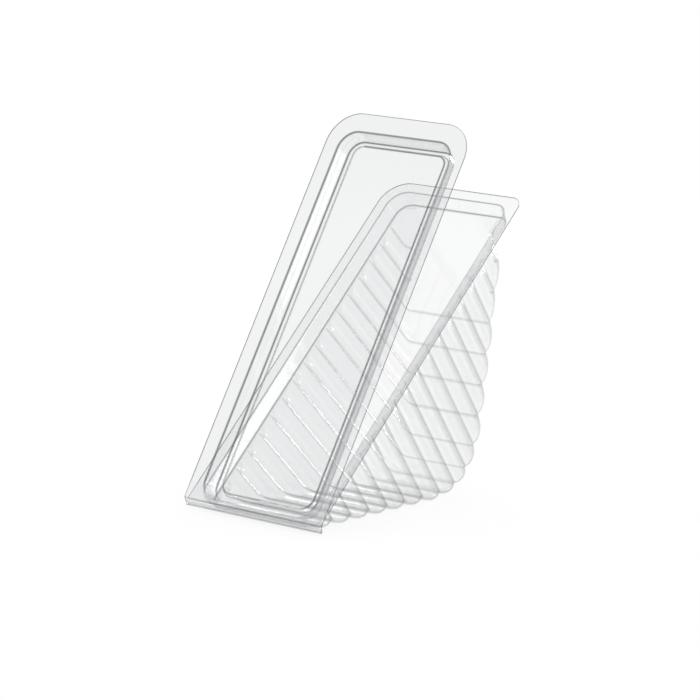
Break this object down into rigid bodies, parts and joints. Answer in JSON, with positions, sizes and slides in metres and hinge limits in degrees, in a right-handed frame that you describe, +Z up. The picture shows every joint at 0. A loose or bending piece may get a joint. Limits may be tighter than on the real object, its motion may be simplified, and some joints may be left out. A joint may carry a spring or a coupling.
{
  "type": "sandwich wedge pack",
  "caption": "Clear one-piece film pack for a cut sandwich: a fluted triangular tray standing on its base leg, with a hinged lid held ajar.",
  "frame": {"origin": "middle of the pack's box, at the level that its base ribs stand on", "axes": "+Z up, +X along the hinge to the side with the squarer lifting corner, -Y towards the hinge and the lid"},
  "size_m": [0.077, 0.1328, 0.1679],
  "materials": {
    "tray_film": "clear thermoformed film, glossy",
    "lid_film": "clear thermoformed film, glossy"
  },
  "bodies": {
    "tray_body": {"tray": "tray_film"},
    "lid_body": {"lid": "lid_film"}
  },
  "joints": [
    {"name": "lid_hinge", "type": "hinge", "parent": "tray_body", "child": "lid_body", "pos_m": [0, -0.06603, 0.00381], "axis": [1, 0, 0], "range_deg": [-15.6, 164.4]}
  ]
}
